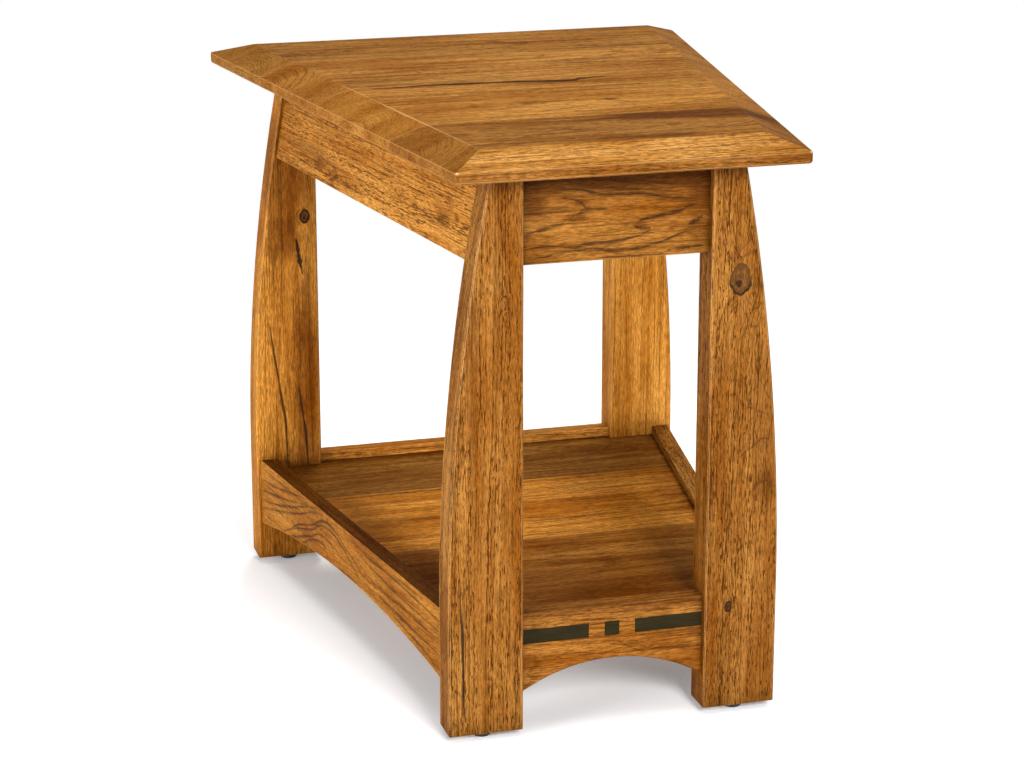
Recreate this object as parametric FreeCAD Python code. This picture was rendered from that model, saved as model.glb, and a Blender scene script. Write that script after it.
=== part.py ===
import FreeCAD, Part
import math
import os

# Wedge end table in solid hardwood. Four plank legs with a curved outer edge
# carry tenoned aprons and arched lower rails, a lipped shelf and a bevelled top
# that is narrow at the front and wide at the back.
# Frame: origin on the floor under the middle of the top, X to the right,
# Y towards the wide back end, Z up. Millimetres.

V = FreeCAD.Vector
UP = V(0, 0, 1)

# Overall sizes
HEIGHT = 610.0
DEPTH = 708.0
FRONT_WIDTH = 355.0
BACK_WIDTH = 562.0

# Top: an edge-glued panel with a wide shallow bevel
TOP_THICK = 25.0
TOP_EDGE = 11.0
BEVEL_WIDTH = 38.5
TOP_CORNER = 5.0
TOP_EASE = 1.5
FRONT_BOARD = 166.0
MIDDLE_BOARD = 203.0

# Legs: planks with a straight inner edge and a curved outer edge
OVERHANG = 53.0
LEG_SET = 12.0
LEG_WIDTH = 77.0
LEG_THICK = 38.0
LEG_TOP_INSET = 44.5
CURVE_START = 135.0
LEG_EASE = 1.4

# Aprons under the top and lower rails around the shelf
RAIL_THICK = 19.0
RAIL_EASE = 1.2
APRON_HEIGHT = 97.0
APRON_INSET = 4.3
RAIL_TOP = 129.0
END_RAIL_HEIGHT = 86.0
END_ARCH = 28.0
SIDE_RAIL_HEIGHT = 78.0
SIDE_ARCH = 24.0
RAIL_INSET = 4.4
TENON_THICK = 9.5
TENON_SHOULDER = 9.0
END_TENON = 20.0
SIDE_TENON = 12.0

# Dark inlay on the front lower rail: bar, square, bar
INLAY_HEIGHT = 15.4
INLAY_DROP = 17.8
INLAY_SQUARE = 15.7
INLAY_GAP = 16.6
INLAY_DEPTH = 3.0

# Shelf, let in below the rail tops, and the cleats that carry it
SHELF_THICK = 19.0
SHELF_LIP = 10.4
SHELF_FRONT_BOARD = 218.0
SHELF_MIDDLE_BOARD = 193.0
CLEAT = 19.0
CLEAT_END = 40.0

# Corner blocks between the aprons
BLOCK_HEIGHT = 38.0
BLOCK_REACH = 45.0

# Wood screws up through the corner blocks into the top
SCREW = 4.8
SCREW_HEAD = 9.4
SCREW_BITE = 13.0
SCREW_IN = 8.0
SCREW_ALONG = 17.0

# Screw-in levelling feet
FOOT_HEIGHT = 8.0
PAD_WIDTH = 19.0
PAD_HEIGHT = 5.0
PAD_BEVEL = 1.0
PAD_FLOOR = 1.5
STUD = 6.35
STUD_LENGTH = 28.0
STUD_ROOM = 4.0
COLLAR = 10.0
NECK = 5.0
INSERT = 10.0
INSERT_LENGTH = 14.0
RUN_FIT = 0.05

# Heights and depths that follow from the sizes above
Z_UNDER = HEIGHT - TOP_THICK
Z_APRON = Z_UNDER - APRON_HEIGHT
Z_SHELF = RAIL_TOP - SHELF_LIP
Z_SHELF_UNDER = Z_SHELF - SHELF_THICK
Z_CLEAT = Z_SHELF_UNDER - CLEAT
SLOPE = (BACK_WIDTH - FRONT_WIDTH) / 2 / DEPTH
Y_FRONT = -DEPTH / 2
Y_BACK = DEPTH / 2
YF0 = Y_FRONT + OVERHANG
YF1 = YF0 + LEG_THICK
YB1 = Y_BACK - OVERHANG
YB0 = YB1 - LEG_THICK
Y_END_FRONT = (YF0 + YF1) / 2
Y_END_BACK = (YB0 + YB1) / 2
Y_INNER_FRONT = Y_END_FRONT + RAIL_THICK / 2
Y_INNER_BACK = Y_END_BACK - RAIL_THICK / 2


def top_half(y):
    """Half width of the top at depth y."""
    return FRONT_WIDTH / 2 + (y - Y_FRONT) * SLOPE


XF = top_half(YF0) - LEG_SET
XB = top_half(YB0) - LEG_SET
RUN = V(XB - XF, YB0 - YF1, 0)


def leg_inset(z):
    """How far the curved outer edge of a leg has come in at height z."""
    rise = Z_UNDER - CURVE_START
    radius = (rise * rise + LEG_TOP_INSET * LEG_TOP_INSET) / (2 * LEG_TOP_INSET)
    step = max(0.0, z - CURVE_START)
    return radius - math.sqrt(radius * radius - step * step)


def box(x0, x1, y0, y1, z0, z1):
    """Upright box between two corners."""
    return Part.makeBox(x1 - x0, y1 - y0, z1 - z0, V(x0, y0, z0))


def prism(points, run):
    """Closed polygon pushed along a vector."""
    wire = Part.makePolygon(points + points[:1])
    return Part.Face(wire).extrude(run)


def turned(points):
    """Solid turned about the Z axis from a half outline."""
    face = Part.Face(Part.makePolygon(points + points[:1]))
    return face.revolve(V(0, 0, 0), UP, 360)


def fuse(first, others):
    """One clean solid from a body and the bits that belong to it."""
    return first.multiFuse(others).removeSplitter().Solids[0]


def cut(body, tools):
    """A body with several tools taken out of it."""
    return body.cut(Part.makeCompound(tools)).Solids[0]


def mirrored(shape):
    """The same shape on the left of the table."""
    return shape.mirror(V(0, 0, 0), V(1, 0, 0))


def ease(solid, radius, edges):
    """Slightly rounded arrises."""
    return solid.makeFillet(radius, edges).Solids[0]


def save(node, shape):
    """Write one piece, or one group of like pieces."""
    shape.exportStep("parts/" + node + ".step")


# Legs

def leg_blank(x_out, y0):
    """Right-hand leg: vertical foot, then one long arc in towards the top."""
    x_in = x_out - LEG_WIDTH
    z_mid = (CURVE_START + Z_UNDER) / 2
    foot_in = V(x_in, y0, FOOT_HEIGHT)
    foot_out = V(x_out, y0, FOOT_HEIGHT)
    start = V(x_out, y0, CURVE_START)
    middle = V(x_out - leg_inset(z_mid), y0, z_mid)
    head_out = V(x_out - LEG_TOP_INSET, y0, Z_UNDER)
    head_in = V(x_in, y0, Z_UNDER)
    outline = [
        Part.makeLine(foot_in, foot_out),
        Part.makeLine(foot_out, start),
        Part.Arc(start, middle, head_out).toShape(),
        Part.makeLine(head_out, head_in),
        Part.makeLine(head_in, foot_in),
    ]
    solid = Part.Face(Part.Wire(outline)).extrude(V(0, LEG_THICK, 0))
    tall = [e for e in solid.Edges if e.BoundBox.ZLength > LEG_WIDTH]
    return solid.makeChamfer(LEG_EASE, tall).Solids[0]


def foot_hole(x_out, y0):
    """Hole for the threaded insert, deep enough for the stud above it."""
    centre = V(x_out - LEG_WIDTH / 2, y0 + LEG_THICK / 2, FOOT_HEIGHT)
    return Part.makeCylinder(INSERT / 2, STUD_LENGTH + STUD_ROOM, centre)


# End aprons and end rails, square across the table

def end_rail(half, y_mid, z0, z1, arch):
    """Board between two legs, its lower edge straight or arched."""
    y0 = y_mid - RAIL_THICK / 2
    low_left = V(-half, y0, z0)
    low_right = V(half, y0, z0)
    top_left = V(-half, y0, z1)
    top_right = V(half, y0, z1)
    if arch:
        lower = Part.Arc(low_left, V(0, y0, z0 + arch), low_right).toShape()
    else:
        lower = Part.makeLine(low_left, low_right)
    outline = [
        lower,
        Part.makeLine(low_right, top_right),
        Part.makeLine(top_right, top_left),
        Part.makeLine(top_left, low_left),
    ]
    solid = Part.Face(Part.Wire(outline)).extrude(V(0, RAIL_THICK, 0))
    long_edges = [e for e in solid.Edges if e.BoundBox.XLength > half]
    low_edges = [e for e in long_edges if e.BoundBox.ZMin < (z0 + z1) / 2]
    if arch:
        solid = solid.makeChamfer(RAIL_EASE, low_edges).Solids[0]
        top_edges = [e for e in solid.Edges if e.BoundBox.XLength > half and e.BoundBox.ZMin > z1 - RAIL_EASE]
        return ease(solid, RAIL_EASE, top_edges)
    return ease(solid, RAIL_EASE, low_edges)


def end_tenons(half, y_mid, z0, z1):
    """Tenons on both ends of an end rail, right one first."""
    y0 = y_mid - TENON_THICK / 2
    y1 = y_mid + TENON_THICK / 2
    right = box(half, half + END_TENON, y0, y1, z0 + TENON_SHOULDER, z1 - TENON_SHOULDER)
    return [right, mirrored(right)]


# Side aprons and side rails, slanted with the wedge

def across(lean):
    """Width along X of a slanted board, so that its true thickness is right."""
    normal = RUN.cross(lean)
    return normal.Length / abs(normal.x)


def side_section(x_low, x_high, width, z0, z1, y):
    """Cross-section of a side board where it meets the leg at depth y."""
    return [V(x_low, y, z0), V(x_high, y, z1), V(x_high - width, y, z1), V(x_low - width, y, z0)]


APRON_LOW = XF - leg_inset(Z_APRON) - APRON_INSET
APRON_HIGH = XF - leg_inset(Z_UNDER) - APRON_INSET
APRON_LEAN = (APRON_HIGH - APRON_LOW) / APRON_HEIGHT
APRON_WIDE = RAIL_THICK * across(V(APRON_HIGH - APRON_LOW, 0, APRON_HEIGHT))
RAIL_WIDE = RAIL_THICK * across(UP)
RAIL_X = XF - RAIL_INSET
RAIL_INNER = RAIL_X - RAIL_WIDE


def side_tenons(x_low, x_high, width, z0, z1):
    """Tenons at the front and the back end of a right-hand side board."""
    lean = (x_high - x_low) / (z1 - z0)
    share = TENON_THICK / RAIL_THICK * width
    low = z0 + TENON_SHOULDER
    high = z1 - TENON_SHOULDER
    trim = (width - share) / 2
    xl = x_low + lean * TENON_SHOULDER - trim
    xh = x_high - lean * TENON_SHOULDER - trim
    front = prism(side_section(xl, xh, share, low, high, YF1), V(0, -SIDE_TENON, 0))
    back = prism(side_section(xl, xh, share, low, high, YF1), V(0, SIDE_TENON, 0))
    back.translate(RUN)
    return [front, back]


def side_apron():
    """Right apron, leaning with the curve of the legs."""
    solid = prism(side_section(APRON_LOW, APRON_HIGH, APRON_WIDE, Z_APRON, Z_UNDER, YF1), RUN)
    low_edges = [e for e in solid.Edges if e.BoundBox.YLength > LEG_THICK and e.BoundBox.ZMax < Z_APRON + 1]
    return ease(solid, RAIL_EASE, low_edges)


def arch_drop(u, span, rise):
    """How far an arch lies below its crown at a distance u from its middle."""
    radius = (span * span / 4 + rise * rise) / (2 * rise)
    return radius - math.sqrt(radius * radius - u * u)


def side_rail():
    """Right lower rail: arched board sawn at the wedge angle where it meets the legs."""
    along = V(RUN.x, RUN.y, 0).normalize()
    inward = V(-along.y, along.x, 0)
    foot = V(RAIL_X, YF1, 0)
    spare = RAIL_THICK
    crown = RAIL_TOP - SIDE_RAIL_HEIGHT + SIDE_ARCH
    low = crown - arch_drop(RUN.Length / 2 + spare, RUN.Length, SIDE_ARCH)
    start = foot - along * spare
    end = foot + along * (RUN.Length + spare)
    middle = foot + along * (RUN.Length / 2)
    outline = [
        Part.Arc(start + UP * low, middle + UP * crown, end + UP * low).toShape(),
        Part.makeLine(end + UP * low, end + UP * RAIL_TOP),
        Part.makeLine(end + UP * RAIL_TOP, start + UP * RAIL_TOP),
        Part.makeLine(start + UP * RAIL_TOP, start + UP * low),
    ]
    solid = Part.Face(Part.Wire(outline)).extrude(inward * RAIL_THICK)
    arches = [e for e in solid.Edges if e.BoundBox.YLength > LEG_THICK and e.BoundBox.ZMax < crown + 1]
    solid = solid.makeChamfer(RAIL_EASE, arches).Solids[0]
    tops = [e for e in solid.Edges if e.BoundBox.YLength > LEG_THICK and e.BoundBox.ZMin > RAIL_TOP - 0.1]
    solid = ease(solid, RAIL_EASE, tops)
    return solid.common(box(0, XB + LEG_WIDTH, YF1, YB0, 0, HEIGHT)).Solids[0]


# Top and shelf panels, each cut into its boards

def slice_boards(panel, cuts, reach):
    """Cut a panel across its depth into boards, front board first."""
    boards = []
    for y0, y1 in zip(cuts[:-1], cuts[1:]):
        slab = box(-reach, reach, y0, y1, 0, HEIGHT + TOP_THICK)
        boards.append(panel.common(slab).Solids[0])
    return boards


def top_panel():
    """Wedge-shaped panel with mitred bevels and rounded corners."""
    hf = FRONT_WIDTH / 2
    hb = BACK_WIDTH / 2
    outline = [V(-hf, Y_FRONT, Z_UNDER), V(hf, Y_FRONT, Z_UNDER), V(hb, Y_BACK, Z_UNDER), V(-hb, Y_BACK, Z_UNDER)]
    blank = prism(outline, V(0, 0, TOP_THICK))
    rounded = ease(blank, TOP_CORNER, [e for e in blank.Edges if e.BoundBox.ZLength > TOP_THICK / 2])
    drop = TOP_THICK - TOP_EDGE
    bevelled = rounded
    for first, second in zip(outline, outline[1:] + outline[:1]):
        along = (second - first).normalize()
        inward = UP.cross(along)
        edge = V(first.x, first.y, Z_UNDER + TOP_EDGE) - along * DEPTH
        wedge = prism([edge, edge + inward * BEVEL_WIDTH + UP * drop, edge + UP * drop * 2 - inward * BEVEL_WIDTH,
                       edge - inward * BEVEL_WIDTH - UP * drop], along * DEPTH * 3)
        bevelled = bevelled.cut(wedge)
    solid = bevelled.Solids[0]
    low = [e for e in solid.Edges if e.BoundBox.ZMax < Z_UNDER + TOP_EASE]
    return solid.makeChamfer(TOP_EASE, low).Solids[0]


def shelf_panel():
    """Shelf let in between the four lower rails, notched round the legs."""
    right = [
        V(XF - LEG_WIDTH, Y_INNER_FRONT, Z_SHELF_UNDER),
        V(XF - LEG_WIDTH, YF1, Z_SHELF_UNDER),
        V(RAIL_INNER, YF1, Z_SHELF_UNDER),
        V(RAIL_INNER + RUN.x, YB0, Z_SHELF_UNDER),
        V(XB - LEG_WIDTH, YB0, Z_SHELF_UNDER),
        V(XB - LEG_WIDTH, Y_INNER_BACK, Z_SHELF_UNDER),
    ]
    left = [V(-p.x, p.y, p.z) for p in reversed(right)]
    return prism(right + left, V(0, 0, SHELF_THICK))


# Shelf cleats, glued to the side rails

SHELF_CUTS = [
    Y_INNER_FRONT,
    Y_INNER_FRONT + SHELF_FRONT_BOARD,
    Y_INNER_FRONT + SHELF_FRONT_BOARD + SHELF_MIDDLE_BOARD,
    Y_INNER_BACK,
]


def cleat():
    """Square strip along the inside of the right lower rail."""
    section = side_section(RAIL_INNER, RAIL_INNER, CLEAT, Z_CLEAT, Z_SHELF_UNDER, YF1)
    whole = prism(section, RUN)
    return whole.common(box(0, XB, YF1 + CLEAT_END, YB0 - CLEAT_END, 0, HEIGHT)).Solids[0]


# Corner blocks, glued to the aprons, and the screws up into the top

def outside_apron():
    """Everything beyond the inner face of the right apron."""
    spread = APRON_HEIGHT
    low = APRON_LOW - APRON_LEAN * spread - APRON_WIDE
    high = APRON_HIGH + APRON_LEAN * spread - APRON_WIDE
    far = XB + DEPTH
    section = [V(low, YF1, Z_APRON - spread), V(high, YF1, Z_UNDER + spread), V(far, YF1, Z_UNDER + spread),
               V(far, YF1, Z_APRON - spread)]
    return prism(section, RUN)


def corner_block(x_leg, y_apron, y_leg, side):
    """Block in a right-hand corner; side is 1 at the front and -1 at the back."""
    far = XB + BLOCK_REACH
    z0 = Z_UNDER - BLOCK_HEIGHT
    plan = [
        V(x_leg - BLOCK_REACH, y_apron, z0),
        V(x_leg, y_apron, z0),
        V(x_leg, y_leg, z0),
        V(far, y_leg, z0),
        V(far, y_apron + side * (far - x_leg + BLOCK_REACH), z0),
    ]
    return prism(plan, V(0, 0, BLOCK_HEIGHT)).cut(outside_apron()).Solids[0]


def top_screw(x_leg, y_apron, side):
    """Countersunk wood screw from under a corner block up into the top."""
    head = (SCREW_HEAD - SCREW) / 2
    length = BLOCK_HEIGHT + SCREW_BITE
    outline = [
        V(0, 0, 0),
        V(SCREW_HEAD / 2, 0, 0),
        V(SCREW / 2, 0, head),
        V(SCREW / 2, 0, length),
        V(0, 0, length),
    ]
    solid = turned(outline)
    solid.translate(V(x_leg - SCREW_IN, y_apron + side * SCREW_ALONG, Z_UNDER - BLOCK_HEIGHT))
    return solid


# Levelling feet

def pad():
    """Round plastic pad with a socket in which the stud turns."""
    r = PAD_WIDTH / 2
    body = turned([V(0, 0, 0), V(r - PAD_BEVEL, 0, 0), V(r, 0, PAD_BEVEL), V(r, 0, PAD_HEIGHT), V(0, 0, PAD_HEIGHT)])
    socket = Part.makeCylinder(NECK / 2 + RUN_FIT, PAD_HEIGHT, V(0, 0, PAD_FLOOR))
    return body.cut(socket).Solids[0]


def stud():
    """Steel stud: neck in the pad, hexagon collar and shank."""
    neck = Part.makeCylinder(NECK / 2, PAD_HEIGHT - PAD_FLOOR, V(0, 0, PAD_FLOOR))
    reach = COLLAR / 2 / math.cos(math.radians(30))
    corners = [V(reach * math.cos(math.radians(60 * k)), reach * math.sin(math.radians(60 * k)), PAD_HEIGHT)
               for k in range(6)]
    collar = prism(corners, V(0, 0, FOOT_HEIGHT - PAD_HEIGHT))
    shank = Part.makeCylinder(STUD / 2, STUD_LENGTH, V(0, 0, FOOT_HEIGHT))
    return fuse(collar, [neck, shank])


def insert():
    """Threaded metal sleeve in the bottom of a leg."""
    start = V(0, 0, FOOT_HEIGHT)
    sleeve = Part.makeCylinder(INSERT / 2, INSERT_LENGTH, start)
    bore = Part.makeCylinder(STUD / 2 + RUN_FIT, INSERT_LENGTH, start)
    return sleeve.cut(bore).Solids[0]


def build():
    """Make every piece and write it."""
    os.makedirs("parts", exist_ok=True)
    half_front = XF - LEG_WIDTH
    half_back = XB - LEG_WIDTH
    z_end = RAIL_TOP - END_RAIL_HEIGHT
    z_side = RAIL_TOP - SIDE_RAIL_HEIGHT

    # Mortises in the legs take the tenons of the four boards that meet there
    front_apron_tenons = end_tenons(half_front, Y_END_FRONT, Z_APRON, Z_UNDER)
    back_apron_tenons = end_tenons(half_back, Y_END_BACK, Z_APRON, Z_UNDER)
    front_rail_tenons = end_tenons(half_front, Y_END_FRONT, z_end, RAIL_TOP)
    back_rail_tenons = end_tenons(half_back, Y_END_BACK, z_end, RAIL_TOP)
    side_apron_tenons = side_tenons(APRON_LOW, APRON_HIGH, APRON_WIDE, Z_APRON, Z_UNDER)
    side_rail_tenons = side_tenons(RAIL_X, RAIL_X, RAIL_WIDE, z_side, RAIL_TOP)

    front_leg = cut(leg_blank(XF, YF0), [front_apron_tenons[0], front_rail_tenons[0], side_apron_tenons[0],
                                         side_rail_tenons[0], foot_hole(XF, YF0)])
    back_leg = cut(leg_blank(XB, YB0), [back_apron_tenons[0], back_rail_tenons[0], side_apron_tenons[1],
                                        side_rail_tenons[1], foot_hole(XB, YB0)])
    save("leg_front_right", front_leg)
    save("leg_front_left", mirrored(front_leg))
    save("leg_back_right", back_leg)
    save("leg_back_left", mirrored(back_leg))

    # Corner blocks and the screws that hold the top down
    front_screw = top_screw(half_front, Y_INNER_FRONT, 1)
    back_screw = top_screw(half_back, Y_INNER_BACK, -1)
    screws = [front_screw, back_screw, mirrored(front_screw), mirrored(back_screw)]
    front_block = corner_block(half_front, Y_INNER_FRONT, YF1, 1).cut(front_screw).Solids[0]
    back_block = corner_block(half_back, Y_INNER_BACK, YB0, -1).cut(back_screw).Solids[0]
    save("corner_block_front_right", front_block)
    save("corner_block_front_left", mirrored(front_block))
    save("corner_block_back_right", back_block)
    save("corner_block_back_left", mirrored(back_block))
    save("top_screws", Part.makeCompound(screws))

    # Aprons
    right_apron = fuse(side_apron(), side_apron_tenons)
    save("apron_front", fuse(end_rail(half_front, Y_END_FRONT, Z_APRON, Z_UNDER, 0), front_apron_tenons))
    save("apron_back", fuse(end_rail(half_back, Y_END_BACK, Z_APRON, Z_UNDER, 0), back_apron_tenons))
    save("apron_right", right_apron)
    save("apron_left", mirrored(right_apron))

    # Inlay let into the front lower rail
    y_face = Y_END_FRONT - RAIL_THICK / 2
    z1 = RAIL_TOP - INLAY_DROP
    z0 = z1 - INLAY_HEIGHT
    near = INLAY_SQUARE / 2 + INLAY_GAP
    square = box(-INLAY_SQUARE / 2, INLAY_SQUARE / 2, y_face, y_face + INLAY_DEPTH, z0, z1)
    bar = box(near, half_front, y_face, y_face + INLAY_DEPTH, z0, z1)
    save("inlay_square", square)
    save("inlay_bar_right", bar)
    save("inlay_bar_left", mirrored(bar))

    # Lower rails
    front_rail = fuse(end_rail(half_front, Y_END_FRONT, z_end, RAIL_TOP, END_ARCH), front_rail_tenons)
    right_rail = fuse(side_rail(), side_rail_tenons)
    save("rail_front", cut(front_rail, [square, bar, mirrored(bar)]))
    save("rail_back", fuse(end_rail(half_back, Y_END_BACK, z_end, RAIL_TOP, END_ARCH), back_rail_tenons))
    save("rail_right", right_rail)
    save("rail_left", mirrored(right_rail))

    # Shelf
    right_cleat = cleat()
    save("shelf_cleat_right", right_cleat)
    save("shelf_cleat_left", mirrored(right_cleat))
    boards = slice_boards(shelf_panel(), SHELF_CUTS, BACK_WIDTH)
    for name, board in zip(("front", "middle", "back"), boards):
        save("shelf_board_" + name, board)

    # Top
    seam_front = Y_FRONT + FRONT_BOARD
    seam_middle = seam_front + MIDDLE_BOARD
    seam_back = (seam_middle + Y_BACK) / 2
    boards = slice_boards(top_panel(), [Y_FRONT, seam_front, seam_middle, seam_back, Y_BACK], BACK_WIDTH)
    for name, board in zip(("front", "middle_front", "middle_back", "back"), boards):
        save("top_board_" + name, cut(board, screws))

    # Levelling feet under the middle of each leg
    inserts = []
    for name, x_out, y0 in (("front", XF, YF0), ("back", XB, YB0)):
        for hand, sign in (("right", 1), ("left", -1)):
            spot = V(sign * (x_out - LEG_WIDTH / 2), y0 + LEG_THICK / 2, 0)
            place = FreeCAD.Placement(spot, FreeCAD.Rotation())
            pieces = [pad(), stud(), insert()]
            for piece in pieces:
                piece.Placement = place
            save("foot_pad_" + name + "_" + hand, pieces[0])
            save("foot_stud_" + name + "_" + hand, pieces[1])
            inserts.append(pieces[2])
    save("foot_inserts", Part.makeCompound(inserts))


build()
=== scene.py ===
"""Finishes a wedge-shaped hickory end table and sets it in a plain studio."""

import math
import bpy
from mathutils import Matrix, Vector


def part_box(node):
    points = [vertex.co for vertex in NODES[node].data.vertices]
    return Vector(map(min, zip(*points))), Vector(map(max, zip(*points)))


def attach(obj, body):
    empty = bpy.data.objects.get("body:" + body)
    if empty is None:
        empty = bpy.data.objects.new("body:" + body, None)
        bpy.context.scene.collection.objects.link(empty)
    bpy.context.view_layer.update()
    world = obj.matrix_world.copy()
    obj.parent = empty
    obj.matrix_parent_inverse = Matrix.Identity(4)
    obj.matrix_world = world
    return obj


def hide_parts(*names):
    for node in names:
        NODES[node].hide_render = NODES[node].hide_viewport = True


bl_info = {
    "name": "Wedge Table Finisher",
    "version": (1, 0, 0),
    "blender": (4, 5, 0),
    "location": "View3D > Sidebar > Table",
    "description": "Stains the boards of a wedge end table, fits its screws and feet, and lights it",
    "category": "Object",
}

from typing import NamedTuple

import bmesh
import bpy
from bpy.props import FloatProperty, FloatVectorProperty, PointerProperty
from mathutils import Matrix, Vector

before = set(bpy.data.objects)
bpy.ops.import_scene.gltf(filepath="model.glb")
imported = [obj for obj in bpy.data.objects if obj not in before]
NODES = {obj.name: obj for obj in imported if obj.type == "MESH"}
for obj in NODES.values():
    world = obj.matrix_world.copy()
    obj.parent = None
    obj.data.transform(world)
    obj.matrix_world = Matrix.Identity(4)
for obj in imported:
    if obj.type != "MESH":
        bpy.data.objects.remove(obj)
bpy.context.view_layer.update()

MM = 0.001
END_SHARE = 0.02

EAST = Vector((1, 0, 0))
NORTH = Vector((0, 1, 0))
UP = Vector((0, 0, 1))

CORNERS = ("front_left", "front_right", "back_left", "back_right")

# Spots to the metre in the dyed wood, the pads and the plating
DYED_FIBRES = (45, 900, 900)
DYE_MOTTLE = (30, 60, 60)
PAD_PEBBLES = (1500, 1500, 1500)
PAD_SCUFFS = (240, 240, 700)
PLATE_CLOUDS = (180, 180, 260)
TURNING_MARKS = (60, 60, 5200)
SCUFFED = (0.075, 0.074, 0.072, 1)
DULL_PLATE = 0.62

# Sizes of a foot's stud, measured up from the end of its neck
NECK_LENGTH = 3.5 * MM
NECK_RADIUS = 2.5 * MM
COLLAR_REACH = 6.5 * MM
COLLAR_FLATS = 10 * MM
COLLAR_BEVEL = 0.35 * MM
STUD_CREST = 3.175 * MM
STUD_LEAD = 0.8 * MM
STUD_TIP_STEP = 0.6 * MM
STUD_OVERLAP = 0.5 * MM
STUD_THREAD_GAP = 0.2 * MM
NECK_EDGE = (0.2 * MM, 0.3 * MM)

# Sizes of a wood screw, measured up from the face of its head
HEAD_RADIUS = 4.7 * MM
HEAD_DEPTH = 2.6 * MM
HEAD_NECK = 2.0 * MM
SHANK_START = 2.0 * MM
RECESS_DEPTH = 1.9 * MM
SHANK_RADIUS = 1.9 * MM
SHANK_LENGTH = 15 * MM
CORE_RADIUS = 1.6 * MM
CORE_START = 16 * MM
SCREW_ROOT = 1.55 * MM
SCREW_CREST = 2.35 * MM
SCREW_THREAD_START = 15.5 * MM
TIP_LENGTH = 8 * MM
TIP_RADIUS = 0.3 * MM
TIP_GAP = 0.2 * MM
TIP_TURNS = 3

# The floor as it is seen, where it fades out, and the rise of the world's white
WHITE = (1, 1, 1, 1)
SEEN_FLOOR = (0.97, 0.965, 0.97, 1)
FLOOR_LIFT = 0.19
FLOOR_FADE = (0.75, 1.5)
WHITE_RISE = (0.13, 0.26)


# Settings that a user would change


class HickoryFinish(bpy.types.PropertyGroup):
    """Stain, grain and varnish of the hickory boards."""

    pale: FloatVectorProperty(
        name="Pale stain", description="Colour of the pale wood between the rings",
        subtype="COLOR", min=0, max=1, default=(0.440, 0.190, 0.036))
    deep: FloatVectorProperty(
        name="Deep stain", description="Colour of the darker wood",
        subtype="COLOR", min=0, max=1, default=(0.235, 0.073, 0.006))
    pore: FloatVectorProperty(
        name="Pores", description="Colour of the stain that stays in the pores",
        subtype="COLOR", min=0, max=1, default=(0.070, 0.018, 0.001))
    streak: FloatVectorProperty(
        name="Mineral streaks", description="Colour of dark streaks, knots and filled cracks",
        subtype="COLOR", min=0, max=1, default=(0.040, 0.016, 0.006))
    pore_length: FloatProperty(
        name="Pore length", description="Usual length of a pore along the grain",
        unit="LENGTH", default=0.0085)
    pore_width: FloatProperty(
        name="Pore width", description="Usual width of a pore",
        unit="LENGTH", default=0.0011)
    roughness: FloatProperty(
        name="Roughness", description="Roughness of the satin varnish",
        subtype="FACTOR", min=0, max=1, default=0.48)
    # Width of the painted highlight along the arrises.
    wear: FloatProperty(
        name="Arris wear", description="Width of the paler line along the arrises",
        unit="LENGTH", default=0.0013)
    # Reach of the painted shade in corners and under overhangs.
    glaze: FloatProperty(
        name="Corner glaze", description="How far the dark glaze reaches out of a corner",
        unit="LENGTH", default=0.045)


class InlayFinish(bpy.types.PropertyGroup):
    """Dyed wood of the inlay."""

    dye: FloatVectorProperty(
        name="Dye", description="Colour of the dyed wood",
        subtype="COLOR", min=0, max=1, default=(0.019, 0.0145, 0.0045))
    fleck: FloatVectorProperty(
        name="Fleck", description="Paler fibres in the dyed wood",
        subtype="COLOR", min=0, max=1, default=(0.031, 0.023, 0.008))


class FootFinish(bpy.types.PropertyGroup):
    """Plastic and steel of the levelling feet, and the screws."""

    plastic: FloatVectorProperty(
        name="Pad plastic", description="Colour of the moulded pads",
        subtype="COLOR", min=0, max=1, default=(0.020, 0.020, 0.021))
    zinc: FloatVectorProperty(
        name="Zinc", description="Colour of the plated studs and sleeves",
        subtype="COLOR", min=0, max=1, default=(0.62, 0.63, 0.64))
    brass_zinc: FloatVectorProperty(
        name="Yellow zinc", description="Colour of the plated wood screws",
        subtype="COLOR", min=0, max=1, default=(0.60, 0.50, 0.27))
    pitch: FloatProperty(
        name="Stud pitch", description="Pitch of the stud's thread",
        unit="LENGTH", default=0.00127)
    thread_depth: FloatProperty(
        name="Thread depth", description="Depth of the stud's thread",
        unit="LENGTH", default=0.0007)
    screw_pitch: FloatProperty(
        name="Screw pitch", description="Pitch of the wood screws' thread",
        unit="LENGTH", default=0.0024)


class StudioSettings(bpy.types.PropertyGroup):
    """Camera, floor and lamps."""

    camera_place: FloatVectorProperty(
        name="Camera", description="Place of the camera",
        subtype="TRANSLATION", unit="LENGTH", default=(-0.82225, -2.77915, 1.14641))
    camera_turn: FloatProperty(
        name="Turn", description="Turn of the camera to the right of straight ahead",
        unit="ROTATION", default=0.28060)
    camera_tilt: FloatProperty(
        name="Tilt", description="Tilt of the camera below the horizon",
        unit="ROTATION", default=0.29140)
    lens: FloatProperty(
        name="Lens", description="Focal length in millimetres", default=97.51)
    floor: FloatVectorProperty(
        name="Floor", description="Colour of the floor",
        subtype="COLOR", min=0, max=1, default=(0.70, 0.695, 0.70))
    ambient: FloatProperty(
        name="Ambient", description="Strength of the light from all round", default=0.25)
    key: FloatProperty(
        name="Key lamp", description="Power of the large lamp in front", unit="POWER", default=72.0)
    top: FloatProperty(
        name="Top lamp", description="Power of the large lamp overhead", unit="POWER", default=24.0)
    side: FloatProperty(
        name="Side lamp", description="Power of the lamp on the left", unit="POWER", default=58.0)
    back: FloatProperty(
        name="Back lamp", description="Power of the lamp behind the table", unit="POWER", default=42.0)


class TableSettings(bpy.types.PropertyGroup):
    """Everything that can be set on the table."""

    hickory: PointerProperty(type=HickoryFinish)
    inlay: PointerProperty(type=InlayFinish)
    foot: PointerProperty(type=FootFinish)
    studio: PointerProperty(type=StudioSettings)


# Helpers for shader trees


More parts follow.
